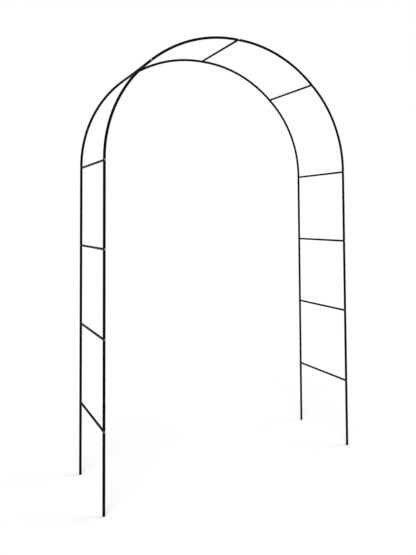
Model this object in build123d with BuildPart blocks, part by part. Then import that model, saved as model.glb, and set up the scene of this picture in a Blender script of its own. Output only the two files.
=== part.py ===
from build123d import *

import os
from math import cos, radians, sin

# A garden arch for climbing plants. Two hoops of thin steel tube stand one behind the other, and rungs
# hold them apart. Each hoop is a chain of tubes: the upper end of a tube is swaged down to a spigot, which
# slides into the open end of the next tube. At every such lap a screw goes through both tubes, along Y,
# into a threaded insert in the end of a rung.
# The origin is on the ground, in the middle of the footprint. X runs across the walkway, Z is up, and the
# front hoop is on the -Y side.

# Layout of the hoops
leg_spacing = 1528.0  # left leg to right leg, between centrelines
hoop_spacing = 440.0  # front hoop to rear hoop, between centrelines
foot_height = 391.0  # ground to the lowest rung
rung_pitch = 430.0  # one leg rung to the next
haunch_radius = 660.0  # bend above each leg, at the centreline
haunch_angle = 49.5  # degrees that this bend turns

# Hoop tubes
tube_diameter = 14.0
tube_wall = 0.8
lap = 20.0  # length of a spigot inside the next tube
shoulder = 3.0  # length of the taper between a tube and its spigot
slip_fit = 0.1  # radial clearance of a spigot in the next tube

# Rungs
rung_diameter = 12.0
rung_wall = 0.8
saddle_fit = 0.1  # clearance between a rung's saddle end and the hoop tube

# Pan-head screws, and the threaded inserts in the rung ends
screw_diameter = 4.0
screw_length = 25.0
head_diameter = 8.0
head_height = 2.6
head_rim = 0.9  # straight edge of the head, below its dome
hole_clearance = 0.25  # radial, screw in the tube walls
thread_fit = 0.05  # radial, screw in an insert whose thread is drawn plain
insert_length = 15.0
insert_fit = 0.05  # radial, insert in the rung

# Foot plugs
foot_thickness = 4.0  # the part of a plug that stands below the tube
foot_edge = 2.0  # rounding of its lower edge
stem_length = 16.0
stem_wall = 1.4
stem_fit = 0.05  # radial, stem in the tube

# Names of the tubes and rungs on each side, from the ground up
tube_names = ["foot", "lower_leg", "middle_leg", "upper_leg", "haunch", "crown"]
leg_rung_names = ["lower", "middle", "upper", "springing"]
side_rung_names = [*leg_rung_names, "haunch"]

# Radii
tube_radius = tube_diameter / 2
bore_radius = tube_radius - tube_wall
spigot_radius = bore_radius - slip_fit
spigot_bore = spigot_radius - tube_wall
saddle_radius = tube_radius + saddle_fit
rung_radius = rung_diameter / 2
rung_bore = rung_radius - rung_wall
screw_radius = screw_diameter / 2
stem_radius = bore_radius - stem_fit

# A tube's body ends in a straight end, one taper and one lap long, with a screw through the middle of the
# lap. The crown bends fill the width that the haunches and the straight ends leave.
straight_end = shoulder + lap
body_to_screw = shoulder + lap / 2
haunch_turn = radians(haunch_angle)
haunch_width = haunch_radius * (1 - cos(haunch_turn)) + straight_end * sin(haunch_turn)
crown_radius = (leg_spacing / 2 - haunch_width - body_to_screw) / cos(haunch_turn)
crown_angle = 90 - haunch_angle

# Places of the rungs and of the tube bodies, as lengths along half a hoop from the ground to the crown
leg_rungs = [foot_height + level * rung_pitch for level in range(len(leg_rung_names))]
bend_start = leg_rungs[-1] + lap / 2
haunch_rung = bend_start + haunch_radius * haunch_turn + body_to_screw
crown_rung = haunch_rung + lap / 2 + crown_radius * radians(crown_angle) + body_to_screw
rung_places = [*leg_rungs, haunch_rung, crown_rung]
body_starts = [foot_thickness, *[place - lap / 2 for place in rung_places[:-1]]]
body_ends = [place - body_to_screw for place in rung_places]

to_front = Vector(0, -1, 0)
sides = {"left": -1, "right": 1}
hoops = {"front": Plane.XZ.offset(hoop_spacing / 2), "rear": Plane.XZ.offset(-hoop_spacing / 2)}


def half_hoop(plane, side):
    """Centreline of half a hoop, from the ground up one leg to the middle of the crown."""
    with BuildLine(plane) as half:
        leg = Line((side * leg_spacing / 2, 0), (side * leg_spacing / 2, bend_start))
        haunch = JernArc(leg @ 1, leg % 1, haunch_radius, side * haunch_angle)
        joint = Line(haunch @ 1, haunch @ 1 + straight_end * (haunch % 1))
        crown = JernArc(joint @ 1, joint % 1, crown_radius, side * crown_angle)
        Line(crown @ 1, crown @ 1 + body_to_screw * (crown % 1))
    return half.wire()


def plane_at(half, place):
    """Plane in the hoop at a place along its centreline, facing front, with its Y axis up the tube."""
    share = place / half.length
    heading = half % share
    return Plane(half @ share, x_dir=heading.cross(to_front), z_dir=to_front)


def hoop_tube(half, start, end, screw_places, swaged):
    """Tube whose body runs from start to end along half a hoop, with its straight end swaged or left open."""
    body = half.trim(start / half.length, end / half.length)
    end_plane = plane_at(half, end)
    end_radius, end_bore = (spigot_radius, spigot_bore) if swaged else (tube_radius, bore_radius)
    with BuildPart() as tube:
        with BuildSketch(Plane(body @ 0, z_dir=body % 0)):
            Circle(tube_radius)
            Circle(bore_radius, mode=Mode.SUBTRACT)
        sweep(path=body)
        with BuildSketch(end_plane):
            with BuildLine():
                Polyline(
                    (bore_radius, 0),
                    (tube_radius, 0),
                    (end_radius, shoulder),
                    (end_radius, straight_end),
                    (end_bore, straight_end),
                    (end_bore, shoulder),
                    close=True,
                )
            make_face()
        revolve(axis=Axis(end_plane.origin, end_plane.y_dir))
        with BuildSketch(*[plane_at(half, place) for place in screw_places]):
            Circle(screw_radius + hole_clearance)
        extrude(amount=tube_diameter, both=True, mode=Mode.SUBTRACT)
    return tube.part


def rung(middle):
    """Rung through a plane midway between the hoops, with both ends cut to saddles that fit the tubes."""
    hoop_planes = [middle.offset(way * hoop_spacing / 2) for way in (-1, 1)]
    with BuildPart() as bar:
        with BuildSketch(middle):
            Circle(rung_radius)
            Circle(rung_bore, mode=Mode.SUBTRACT)
        extrude(amount=hoop_spacing / 2, both=True)
        with BuildSketch(*[Plane(plane.origin, z_dir=plane.y_dir) for plane in hoop_planes]):
            Circle(saddle_radius)
        extrude(amount=rung_diameter, both=True, mode=Mode.SUBTRACT)
    return bar.part


def pan_head_screw():
    """Screw along Z, whose head sits on the outside of a tube that runs through the origin."""
    tip = (0, tube_radius - screw_length)
    crest = (0, tube_radius + head_height)
    head_edge = (head_diameter / 2, tube_radius + head_rim)
    with BuildPart() as screw:
        with BuildSketch(Plane.XZ):
            with BuildLine():
                Polyline(
                    tip,
                    (screw_radius, tip[1]),
                    (screw_radius, tube_radius),
                    (head_edge[0], tube_radius),
                    head_edge,
                )
                TangentArc(crest, head_edge, tangent=(1, 0))
                Line(crest, tip)
            make_face()
        revolve(axis=Axis.Z)
    return screw.part


def rung_insert():
    """Threaded insert along Z, in the end of a rung that meets a tube running through the origin."""
    with BuildPart() as insert:
        with BuildSketch(Plane.XY.offset(-saddle_radius)):
            Circle(rung_bore - insert_fit)
            Circle(screw_radius + thread_fit, mode=Mode.SUBTRACT)
        extrude(amount=-insert_length)
    return insert.part


def foot_plug(ground):
    """Plug in the lower end of a leg: a rounded foot as wide as the tube, and a hollow stem inside it."""
    with BuildPart() as plug:
        with BuildSketch(ground):
            Circle(tube_radius)
        extrude(amount=foot_thickness)
        fillet(plug.edges().sort_by(Axis.Z)[0], foot_edge)
        with BuildSketch(ground.offset(foot_thickness)):
            Circle(stem_radius)
            Circle(stem_radius - stem_wall, mode=Mode.SUBTRACT)
        extrude(amount=stem_length)
    return plug.part


def group(piece, places):
    """Copies of one small piece, as separate solids."""
    with BuildPart() as copies:
        with Locations(*places):
            add(piece)
    return copies.part


def save(part, label):
    """Name a finished piece and write it to its own file."""
    part.label = label
    export_step(part, f"parts/{label}.step")


os.makedirs("parts", exist_ok=True)

# Hoops and their foot plugs. The left crown tube's spigot goes into the right crown tube's open end.
for hoop, hoop_plane in hoops.items():
    for side_name, side in sides.items():
        half = half_hoop(hoop_plane, side)
        for number, tube_name in enumerate(tube_names):
            screw_places = rung_places[max(number - 1, 0) : number + 1]
            swaged = (side_name, tube_name) != ("right", "crown")
            tube = hoop_tube(half, body_starts[number], body_ends[number], screw_places, swaged)
            save(tube, f"{hoop}_{side_name}_{tube_name}_tube")
        save(foot_plug(Plane(half @ 0)), f"{hoop}_{side_name}_foot_plug")

# Rungs, each on a plane midway between the hoops
rung_planes = {}
for side_name, side in sides.items():
    half = half_hoop(Plane.XZ, side)
    for rung_name, place in zip(side_rung_names, rung_places):
        rung_planes[f"{side_name}_{rung_name}"] = plane_at(half, place)
rung_planes["crown"] = plane_at(half, crown_rung)
for rung_name, middle in rung_planes.items():
    save(rung(middle), f"{rung_name}_rung")

# Screws and inserts at the rung ends, with the screw heads on the outer face of each hoop
for hoop, hoop_plane in hoops.items():
    outward = to_front if hoop == "front" else -to_front
    rung_ends = []
    for middle in rung_planes.values():
        centre = (middle.origin.X, hoop_plane.origin.Y, middle.origin.Z)
        rung_ends.append(Plane(centre, z_dir=outward))
    save(group(pan_head_screw(), rung_ends), f"{hoop}_screws")
    save(group(rung_insert(), rung_ends), f"{hoop}_rung_inserts")
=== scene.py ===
from math import asin, pi, radians, tau

import bmesh
import bpy
from mathutils import Euler, Matrix, Vector


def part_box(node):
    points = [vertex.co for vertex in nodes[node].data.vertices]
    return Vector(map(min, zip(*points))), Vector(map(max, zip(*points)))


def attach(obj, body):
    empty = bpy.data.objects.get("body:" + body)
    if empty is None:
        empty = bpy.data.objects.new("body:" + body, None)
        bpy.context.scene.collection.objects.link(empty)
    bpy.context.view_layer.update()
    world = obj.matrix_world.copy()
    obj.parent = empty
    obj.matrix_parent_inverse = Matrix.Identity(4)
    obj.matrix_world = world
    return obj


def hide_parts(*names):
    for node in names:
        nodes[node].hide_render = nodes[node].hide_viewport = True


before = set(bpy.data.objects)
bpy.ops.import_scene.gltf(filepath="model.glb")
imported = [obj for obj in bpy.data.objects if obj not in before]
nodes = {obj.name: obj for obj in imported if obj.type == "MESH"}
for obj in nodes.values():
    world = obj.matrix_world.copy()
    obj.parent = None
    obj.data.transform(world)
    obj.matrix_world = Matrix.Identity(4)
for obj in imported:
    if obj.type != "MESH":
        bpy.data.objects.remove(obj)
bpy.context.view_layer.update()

# Hoop tubes
# Two hoops of 14 mm welded steel tube, each in twelve lengths: the upper end of a tube is swaged down and
# pushed into the open end of the next one. Each length was powder coated before it was packed, so the coat
# goes round the cut ends as well.
mm = 0.001


def linear(colour):
    """Linear colour with full alpha, from an sRGB hex value such as "1a2b3c"."""
    shares = [int(colour[start : start + 2], 16) / 255 for start in (0, 2, 4)]
    return [*(share / 12.92 if share <= 0.04045 else ((share + 0.055) / 1.055) ** 2.4 for share in shares), 1]


def wire(node, values, links):
    """Sets the values of a node's sockets, and links sockets to other nodes' outputs."""
    for socket, value in values.items():
        node.inputs[socket].default_value = value
    for socket, output in links.items():
        node.id_data.links.new(output, node.inputs[socket])


def add_node(tree, kind, values=None, links=None, **settings):
    """Adds a node with its settings, the values of its sockets, and links from other nodes' outputs."""
    node = tree.nodes.new(kind)
    for name, value in settings.items():
        setattr(node, name, value)
    wire(node, values or {}, links or {})
    return node


def new_finish(name):
    """Material, its node tree, its Principled shader, and the place on the piece in metres."""
    material = bpy.data.materials.new(name)
    material.use_nodes = True
    tree = material.node_tree
    place = add_node(tree, "ShaderNodeTexCoord").outputs["Object"]
    return material, tree, tree.nodes["Principled BSDF"], place


def cover(ending, material):
    """Gives a finish to the CAD nodes whose names end alike."""
    for name, node in nodes.items():
        if name.endswith(ending):
            node.data.materials.clear()
            node.data.materials.append(material)


# A Mix node has sockets of the same name for numbers and for colours, so its colours go by number.
MIX_A, MIX_B, MIX_RESULT = 6, 7, 2

# Satin black polyester powder coat, sprayed on dry and melted in an oven. It gives a deep black with a faint
# sheen, on a skin like fine orange peel. The melt draws back from sharp edges, so the cut ends look rounded
# and greyer.
coat, tree, shader, place = new_finish("satin_black_powder_coat")
patch_size = 45 * mm
# The waves of the orange peel are really about 1 mm long and very shallow, and drawn twice as long, and
# deeper, so that they show at arm's length.
peel_size = 2 * mm
peel_depth = 0.2 * mm
edge_radius = 0.35 * mm
# Thick and thin patches, as the spray left them, which shine differently
patches = add_node(
    tree,
    "ShaderNodeTexNoise",
    {"Scale": 1 / patch_size, "Detail": 3, "Roughness": 0.55},
    {"Vector": place},
)
gloss = add_node(
    tree,
    "ShaderNodeMapRange",
    {"From Min": 0.3, "From Max": 0.7, "To Min": 0.38, "To Max": 0.5},
    {"Value": patches.outputs["Fac"]},
)
# Orange peel. Its crests are painted a lighter grey than its hollows, a painted sheen that stands in for the
# light the crests catch
orange_peel = add_node(
    tree,
    "ShaderNodeTexNoise",
    {"Scale": 1 / peel_size, "Detail": 1, "Roughness": 0.4},
    {"Vector": place},
)
painted_sheen_on_crests = add_node(
    tree,
    "ShaderNodeMapRange",
    {"From Min": 0.35, "From Max": 0.75},
    {"Value": orange_peel.outputs["Fac"]},
)
# Painted sheen: the coat's colour runs from deep black in the hollows of the peel to a lighter grey on its
# crests.
peel_black_with_painted_sheen = add_node(
    tree,
    "ShaderNodeMix",
    {MIX_A: linear("010101"), MIX_B: linear("131415")},
    {"Factor": painted_sheen_on_crests.outputs["Result"]},
    data_type="RGBA",
)
# Edges rounded by the melt. Where the rounded normal leaves the true one, the coat is thin and greyer.
rounded = add_node(tree, "ShaderNodeBevel", {"Radius": edge_radius}, samples=6)
geometry = add_node(tree, "ShaderNodeNewGeometry")
flatness = add_node(
    tree,
    "ShaderNodeVectorMath",
    links={0: rounded.outputs["Normal"], 1: geometry.outputs["Normal"]},
    operation="DOT_PRODUCT",
)
edge = add_node(
    tree,
    "ShaderNodeMapRange",
    {"From Min": 0.99, "From Max": 0.85},
    {"Value": flatness.outputs["Value"]},
)
colour = add_node(
    tree,
    "ShaderNodeMix",
    {MIX_B: linear("34383a")},
    {"Factor": edge.outputs["Result"], MIX_A: peel_black_with_painted_sheen.outputs[MIX_RESULT]},
    data_type="RGBA",
)
skin = add_node(
    tree,
    "ShaderNodeBump",
    {"Strength": 1, "Distance": peel_depth},
    {"Height": orange_peel.outputs["Fac"], "Normal": rounded.outputs["Normal"]},
)
# The photograph's black is deeper than a satin coat's usual sheen would leave it, so the sheen is held down.
wire(
    shader,
    {"Specular IOR Level": 0.03},
    {
        "Base Color": colour.outputs[MIX_RESULT],
        "Roughness": gloss.outputs["Result"],
        "Normal": skin.outputs["Normal"],
    },
)

cover("_tube", coat)

# Foot plugs
# A plug closes the lower end of each leg: a rounded foot as wide as the tube, and a hollow stem that grips
# the bore. It is moulded in black polyethylene and pressed in by hand.

# Moulded polyethylene from a spark-eroded mould, greyer than the coat above it, with a soft, fine grain
plastic, tree, shader, place = new_finish("moulded_black_polyethylene")
flow_size = 6 * mm
# The grain is really about 0.1 mm, and drawn three times as coarse so that a close view holds it.
grain_size = 0.3 * mm
grain_depth = 0.02 * mm
flow = add_node(tree, "ShaderNodeTexNoise", {"Scale": 1 / flow_size, "Detail": 2}, {"Vector": place})
grain = add_node(tree, "ShaderNodeTexNoise", {"Scale": 1 / grain_size, "Detail": 2}, {"Vector": place})
colour = add_node(
    tree,
    "ShaderNodeMix",
    {MIX_A: linear("0c0c0d"), MIX_B: linear("18181a")},
    {"Factor": flow.outputs["Fac"]},
    data_type="RGBA",
)
gloss = add_node(
    tree,
    "ShaderNodeMapRange",
    {"From Min": 0.3, "From Max": 0.7, "To Min": 0.48, "To Max": 0.62},
    {"Value": flow.outputs["Fac"]},
)
skin = add_node(
    tree,
    "ShaderNodeBump",
    {"Strength": 0.4, "Distance": grain_depth},
    {"Height": grain.outputs["Fac"]},
)
wire(
    shader,
    {"Specular IOR Level": 0.25},
    {
        "Base Color": colour.outputs[MIX_RESULT],
        "Roughness": gloss.outputs["Result"],
        "Normal": skin.outputs["Normal"],
    },
)

cover("_foot_plug", plastic)

# Rungs
# Eleven 12 mm steel tubes hold the hoops apart, with ends cut to saddles that fit the hoop tubes. They come
# from the same coating line as the hoops.
cover("_rung", coat)

# Rung inserts
# A threaded steel insert is pressed into each end of a rung, and the screw through the hoop goes into it.
# It is turned from bar and zinc plated, and the finished arch hides it.

# Bright zinc plating, a thin bluish-white metal skin that is slightly mottled
zinc, tree, shader, place = new_finish("bright_zinc_plating")
mottle_size = 3 * mm
mottle = add_node(tree, "ShaderNodeTexNoise", {"Scale": 1 / mottle_size, "Detail": 3}, {"Vector": place})
colour = add_node(
    tree,
    "ShaderNodeMix",
    {MIX_A: linear("a9aeb3"), MIX_B: linear("c6cbd0")},
    {"Factor": mottle.outputs["Fac"]},
    data_type="RGBA",
)
gloss = add_node(
    tree,
    "ShaderNodeMapRange",
    {"From Min": 0.3, "From Max": 0.7, "To Min": 0.25, "To Max": 0.42},
    {"Value": mottle.outputs["Fac"]},
)
wire(
    shader,
    {"Metallic": 1},
    {"Base Color": colour.outputs[MIX_RESULT], "Roughness": gloss.outputs["Result"]},
)

cover("_rung_inserts", zinc)

# Screws
# A 4 mm pan-head screw with a cross recess goes through both tubes of every joint, along Y, into the rung's
# insert. It is cold headed from steel wire, with a rolled thread, and yellow passivated.
head_radius = 4 * mm
head_height = 2.6 * mm
rim_height = 0.9 * mm
rim_rounding = 0.25 * mm
shank_radius = 2 * mm
shank_length = 25 * mm
plain_length = 11 * mm
thread_pitch = 0.7 * mm
thread_root = 1.57 * mm
thread_turns = 17
tip_radius = 1.3 * mm
recess_span = 4.4 * mm
recess_width = 1 * mm
recess_depth = 1.7 * mm
recess_taper = 0.55
# The floor of the recess rises towards the ends of its arms, by this share of what the dome falls there.
recess_rise = 0.6
dome_segments = 8
rim_segments = 3
turn_segments = 32
thread_segments = 12
weld_distance = 0.001 * mm
crease_angle = radians(35)

bm = bmesh.new()
up = Vector((0, 0, 1))
dome_height = head_height - rim_height
dome_radius = (head_radius**2 + dome_height**2) / (2 * dome_height)
crest = bm.verts.new((0, 0, head_height))
# The dome's section, from the crest to the rim
dome = bmesh.ops.spin(
    bm,
    geom=[crest],
    cent=(0, 0, head_height - dome_radius),
    axis=(0, 1, 0),
    angle=asin(head_radius / dome_radius),
    steps=dome_segments,
)
rim = next(piece for piece in dome["geom_last"] if isinstance(piece, bmesh.types.BMVert))
seat = bm.verts.new((head_radius, 0, 0))
neck = bm.verts.new((shank_radius, 0, 0))
plain_end = bm.verts.new((shank_radius, 0, -plain_length))
for start, end in ((rim, seat), (seat, neck), (neck, plain_end)):
    bm.edges.new((start, end))
bmesh.ops.bevel(
    bm,
    geom=[rim, seat, neck],
    offset=rim_rounding,
    affect="VERTICES",
    segments=rim_segments,
    profile=0.5,
    material=-1,
)
bmesh.ops.spin(
    bm,
    geom=bm.verts[:] + bm.edges[:],
    cent=(0, 0, 0),
    axis=up,
    angle=tau,
    steps=turn_segments,
    use_merge=True,
)
bmesh.ops.remove_doubles(bm, verts=bm.verts, dist=weld_distance)
shank_ring = [edge for edge in bm.edges if edge.is_boundary]

# The cross recess: the dome is cut along its sides, and the faces inside are pushed down and drawn together
for axis in (Vector((1, 0, 0)), Vector((0, 1, 0))):
    for offset in (-recess_span / 2, -recess_width / 2, recess_width / 2, recess_span / 2):
        top = [face for face in bm.faces if face.calc_center_median().z > rim_height]
        bmesh.ops.bisect_plane(
            bm,
            geom=list({piece for face in top for piece in (face, *face.edges, *face.verts)}),
            dist=weld_distance / 10,
            plane_co=axis * offset,
            plane_no=axis,
        )
cross = []
for face in bm.faces:
    centre = face.calc_center_median()
    narrow, wide = sorted((abs(centre.x), abs(centre.y)))
    if centre.z > rim_height and narrow < recess_width / 2 and wide < recess_span / 2:
        cross.append(face)
pushed = bmesh.ops.extrude_face_region(bm, geom=cross)["geom"]
bmesh.ops.delete(bm, geom=cross, context="FACES")
recess_floor = [piece for piece in pushed if isinstance(piece, bmesh.types.BMVert)]
crest_space = Matrix.Translation(-up * head_height)
bmesh.ops.scale(bm, vec=(recess_taper, recess_taper, -recess_rise), space=crest_space, verts=recess_floor)
bmesh.ops.translate(bm, vec=-up * recess_depth, verts=recess_floor)

# The rolled thread: one tooth is wound down the shank, and its turns are welded together
tooth_start = Vector((thread_root, 0, -plain_length - thread_pitch))
tooth = [
    bm.verts.new(tooth_start),
    bm.verts.new(tooth_start + Vector((shank_radius - thread_root, 0, -thread_pitch / 2))),
    bm.verts.new(tooth_start - up * thread_pitch),
]
tooth_edges = [bm.edges.new(pair) for pair in zip(tooth, tooth[1:])]
bmesh.ops.spin(
    bm,
    geom=tooth + tooth_edges,
    cent=(0, 0, 0),
    axis=up,
    dvec=-up * thread_pitch / thread_segments,
    angle=-tau * thread_turns,
    steps=thread_segments * thread_turns,
)
bmesh.ops.remove_doubles(bm, verts=bm.verts, dist=weld_distance)
thread_edges = [edge for edge in bm.edges if edge.is_boundary and edge not in shank_ring]
thread_middle = -(plain_length + shank_length) / 2
thread_top = [edge for edge in thread_edges if edge.verts[0].co.z > thread_middle]
thread_bottom = [edge for edge in thread_edges if edge.verts[0].co.z < thread_middle]
bmesh.ops.bridge_loops(bm, edges=shank_ring + thread_top)
tip = bmesh.ops.create_circle(
    bm,
    cap_ends=True,
    radius=tip_radius,
    segments=thread_segments,
    matrix=Matrix.Translation(-up * shank_length),
)
tip_ring = [edge for edge in bm.edges if edge.verts[0] in tip["verts"]]
bmesh.ops.bridge_loops(bm, edges=thread_bottom + tip_ring)
bmesh.ops.recalc_face_normals(bm, faces=bm.faces)
for face in bm.faces:
    face.smooth = True
screw = bpy.data.meshes.new("pan_head_screw")
bm.to_mesh(screw)
bm.free()
screw.set_sharp_from_angle(angle=crease_angle)

# Yellow passivated zinc: a pale brass colour that drifts towards grey and pink from place to place, as the
# film's thickness does, over bright metal
passivated, tree, shader, place = new_finish("yellow_passivated_zinc")
film_size = 4 * mm
drift_size = 9 * mm
film = add_node(tree, "ShaderNodeTexNoise", {"Scale": 1 / film_size, "Detail": 2}, {"Vector": place})
drift = add_node(tree, "ShaderNodeTexNoise", {"Scale": 1 / drift_size, "Detail": 1}, {"Vector": place})
tint = add_node(
    tree,
    "ShaderNodeMapRange",
    {"From Min": 0.45, "From Max": 0.75},
    {"Value": drift.outputs["Fac"]},
)
brass = add_node(
    tree,
    "ShaderNodeMix",
    {MIX_A: linear("957f50"), MIX_B: linear("af9e7a")},
    {"Factor": film.outputs["Fac"]},
    data_type="RGBA",
)
colour = add_node(
    tree,
    "ShaderNodeMix",
    {MIX_B: linear("a38d7e")},
    {"Factor": tint.outputs["Result"], MIX_A: brass.outputs[MIX_RESULT]},
    data_type="RGBA",
)
gloss = add_node(
    tree,
    "ShaderNodeMapRange",
    {"From Min": 0.3, "From Max": 0.7, "To Min": 0.26, "To Max": 0.4},
    {"Value": film.outputs["Fac"]},
)
wire(
    shader,
    {"Metallic": 1},
    {"Base Color": colour.outputs[MIX_RESULT], "Roughness": gloss.outputs["Result"]},
)


def new_piece(name, bm, material):
    """Object at the origin, with a finished mesh."""
    mesh = bpy.data.meshes.new(name)
    bm.to_mesh(mesh)
    bm.free()
    mesh.materials.append(material)
    piece = bpy.data.objects.new(name, mesh)
    bpy.context.scene.collection.objects.link(piece)
    return piece


# Every screw stopped turning at an angle of its own
turn_step = radians(137.5)
rungs = [name for name in nodes if name.endswith("_rung")]
for hoop, way in (("front", -1), ("rear", 1)):
    hoop_low, hoop_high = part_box(f"{hoop}_left_foot_tube")
    seat_y = hoop_low.y if way < 0 else hoop_high.y
    outward = Matrix.Rotation(-way * radians(90), 4, "X")
    bm = bmesh.new()
    for number, rung in enumerate(rungs):
        low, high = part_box(rung)
        hole = Matrix.Translation(((low.x + high.x) / 2, seat_y, (low.z + high.z) / 2))
        copy = screw.copy()
        copy.transform(hole @ outward @ Matrix.Rotation(number * turn_step, 4, "Z"))
        bm.from_mesh(copy)
        bpy.data.meshes.remove(copy)
    piece = new_piece(f"{hoop}_pan_head_screws", bm, passivated)
    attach(piece, "root")
    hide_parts(f"{hoop}_screws")

# Floor
# A sweep of white studio paper lies under the arch, so wide that its far edge meets the white behind it.
# It is laid just below the feet, so that they don't share a plane with it.
floor_half_width = 100
floor_drop = 0.5 * mm
white = linear("ffffff")


def seen_rays(tree):
    """1 for rays from the camera, and for those that a shiny or clear surface sends on, and 0 for others."""
    light_path = add_node(tree, "ShaderNodeLightPath")
    rays = light_path.outputs["Is Camera Ray"]
    for name in ("Is Glossy Ray", "Is Transmission Ray"):
        rays = add_node(tree, "ShaderNodeMath", links={0: rays, 1: light_path.outputs[name]}).outputs["Value"]
    return rays


# Matt white paper. It takes the object's shadow, and a little light of its own brings it up to plain white.
paper, tree, shader, _ = new_finish("matt_white_paper")
paper_light = 0.22
lift = add_node(tree, "ShaderNodeMath", {1: paper_light}, {0: seen_rays(tree)}, operation="MULTIPLY")
wire(
    shader,
    {"Base Color": linear("e8e8e8"), "Roughness": 1, "Specular IOR Level": 0, "Emission Color": white},
    {"Emission Strength": lift.outputs["Value"]},
)
bm = bmesh.new()
bmesh.ops.create_grid(bm, size=floor_half_width, matrix=Matrix.Translation(-up * floor_drop))
floor = new_piece("floor", bm, paper)

# Studio light
# White walls all round, and two wide soft lamps high up: the main one at the front left, a weaker one at
# the right. Together they light a level surface at about strength 1.
ambient = 0.45
lamp_spread = radians(30)
# Strength of each lamp, and its elevation and azimuth in degrees
lamps = {"main_lamp": (1.4, 50, -35), "side_lamp": (0.9, 45, 70)}
world = bpy.data.worlds.new("white_studio")
world.use_nodes = True
bpy.context.scene.world = world
tree = world.node_tree
walls = add_node(tree, "ShaderNodeMapRange", {"To Min": ambient, "To Max": 1}, {"Value": seen_rays(tree)})
wire(tree.nodes["Background"], {"Color": white}, {"Strength": walls.outputs["Result"]})
for name, (strength, elevation, azimuth) in lamps.items():
    lamp = bpy.data.lights.new(name, "SUN")
    lamp.energy = strength
    lamp.angle = lamp_spread
    holder = bpy.data.objects.new(name, lamp)
    holder.rotation_euler = (radians(90 - elevation), 0, radians(azimuth))
    bpy.context.scene.collection.objects.link(holder)

# Camera
# It stands at chest height, to the front left of the arch, as in the photograph. Upright lines run parallel
# there, though the horizon is above the middle of the picture, so the lens is shifted. The focal length and
# the row of the optical axis are in pixels of the picture.
image_height = 555
focal_length = 501
optical_axis_row = 200
camera_place = Vector((-1.468, -2.574, 1.398))
yaw, pitch, roll = radians(28.35), radians(2.06), radians(-0.33)
# The width of the sensor lies along the longer side of the picture, which is its height.
lens = bpy.data.cameras.new("camera")
lens.lens = focal_length / image_height * lens.sensor_width
lens.shift_y = optical_axis_row / image_height - 0.5
camera = bpy.data.objects.new("camera", lens)
aim = Euler((pi / 2 + pitch, 0, -yaw)).to_matrix().to_4x4()
camera.matrix_world = Matrix.Translation(camera_place) @ aim @ Matrix.Rotation(roll, 4, "Z")
bpy.context.scene.collection.objects.link(camera)
bpy.context.scene.camera = camera
bpy.context.scene.view_settings.view_transform = "Standard"
